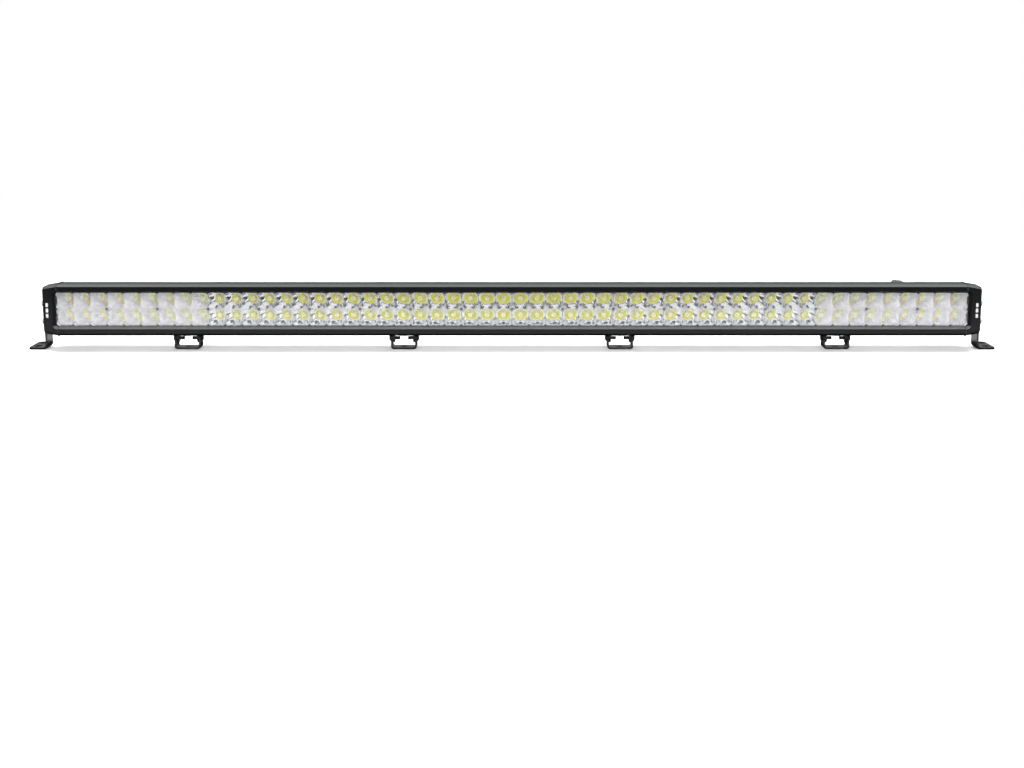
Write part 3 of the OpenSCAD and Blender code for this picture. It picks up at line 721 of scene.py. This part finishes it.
def lay_surround():
    """Evenly lit floor behind the bar and past its ends, seen in reflections only."""
    for name, x_lo, x_hi, y_lo, y_hi in (
            ("lit_back", -CARD_HALF_W, CARD_HALF_W, BACK_NEAR, BACK_NEAR + BACK_REACH),
            ("lit_left", -SIDE_FAR, -SIDE_NEAR, SIDE_FRONT, BACK_REACH),
            ("lit_right", SIDE_NEAR, SIDE_FAR, SIDE_FRONT, BACK_REACH)):
        lit = level_card(name, x_lo, x_hi, y_lo, y_hi, AROUND_Z)
        glow(lit, AROUND_RADIANCE)
        only_for(lit, glossy=True)


FILL_HALF_W = 3.4
FILL_Y = front_y - 2.6
FILL_LOW, FILL_HIGH = 0.25, 3.2
FILL_RADIANCE = 1.7


def hang_fill():
    """Soft white panel in front of the bar, above the sight line, for the cups to mirror."""
    fill = card("fill", [(-FILL_HALF_W, FILL_Y, FILL_LOW), (FILL_HALF_W, FILL_Y, FILL_LOW),
                         (FILL_HALF_W, FILL_Y, FILL_HIGH), (-FILL_HALF_W, FILL_Y, FILL_HIGH)])
    glow(fill, FILL_RADIANCE)
    only_for(fill, glossy=True)


lay_floor()
raise_sweep()
lay_strip()
lay_surround()
hang_fill()

# ---- Light ----

WORLD_UP, WORLD_DOWN = 0.28, 0.02
HORIZON_BLEND = 0.05


def light_world():
    """White sky, brighter above the horizon than below it."""
    world = bpy.data.worlds.new("studio")
    world.use_nodes = True
    tree = world.node_tree
    background = tree.nodes["Background"]
    background.inputs["Color"].default_value = (1, 1, 1, 1)
    coords = tree.nodes.new("ShaderNodeTexCoord")
    split = tree.nodes.new("ShaderNodeSeparateXYZ")
    blend = tree.nodes.new("ShaderNodeMapRange")
    blend.inputs["From Min"].default_value = -HORIZON_BLEND
    blend.inputs["From Max"].default_value = HORIZON_BLEND
    blend.inputs["To Min"].default_value = WORLD_DOWN
    blend.inputs["To Max"].default_value = WORLD_UP
    tree.links.new(coords.outputs["Generated"], split.inputs["Vector"])
    tree.links.new(split.outputs["Z"], blend.inputs["Value"])
    tree.links.new(blend.outputs["Result"], background.inputs["Strength"])
    bpy.context.scene.world = world


def area_light(name, width, height, radiance, location, tilt_deg=0.0):
    """White panel that faces down, tilted about X."""
    light = bpy.data.lights.new(name, "AREA")
    light.shape = "RECTANGLE"
    light.size, light.size_y = width, height
    light.energy = radiance * math.pi * width * height
    panel = new_object(name, light)
    panel.location = location
    panel.rotation_euler = (math.radians(tilt_deg), 0, 0)
    return panel


light_world()
area_light("overhead", width=3.4, height=1.5, radiance=9.0, location=(0, 0.35, 1.8))
# Light on the lamps and boards from in front, left out of reflections
front_light = area_light("front", width=3.2, height=1.6, radiance=7.0,
                         location=(0, front_y - 2.3, 1.1), tilt_deg=66)
front_light.visible_glossy = False
# Broad light from behind, so that the fins and the gland read from the back
area_light("rear", width=3.0, height=1.2, radiance=4.0,
           location=(0, body_hi.y + 2.2, 1.7), tilt_deg=-53)

# ---- Camera ----

CAMERA_DISTANCE = 2.04
SIGHT_DEG = 9.0
LENS_MM = 52.5
SENSOR_MM = 36
SHIFT_Y = -0.0713
# Height of the bar's middle over the picture's middle, as a share of the picture's width
BAR_RISE = 73.5 / 1024


def place_camera():
    """In front of the bar's middle and a little above it, turned so that the bar sits BAR_RISE up."""
    sight = math.radians(SIGHT_DEG)
    pitch_deg = SIGHT_DEG + math.degrees(math.atan((BAR_RISE + SHIFT_Y) / (LENS_MM / SENSOR_MM)))
    data = bpy.data.cameras.new("camera")
    data.lens = LENS_MM
    data.sensor_width = SENSOR_MM
    data.shift_y = SHIFT_Y
    camera = new_object("camera", data)
    camera.location = (0, front_y - CAMERA_DISTANCE * math.cos(sight),
                       mid_z + CAMERA_DISTANCE * math.sin(sight))
    camera.rotation_euler = (math.radians(90 - pitch_deg), 0, 0)
    bpy.context.scene.camera = camera


place_camera()
bpy.context.scene.view_settings.view_transform = "Standard"
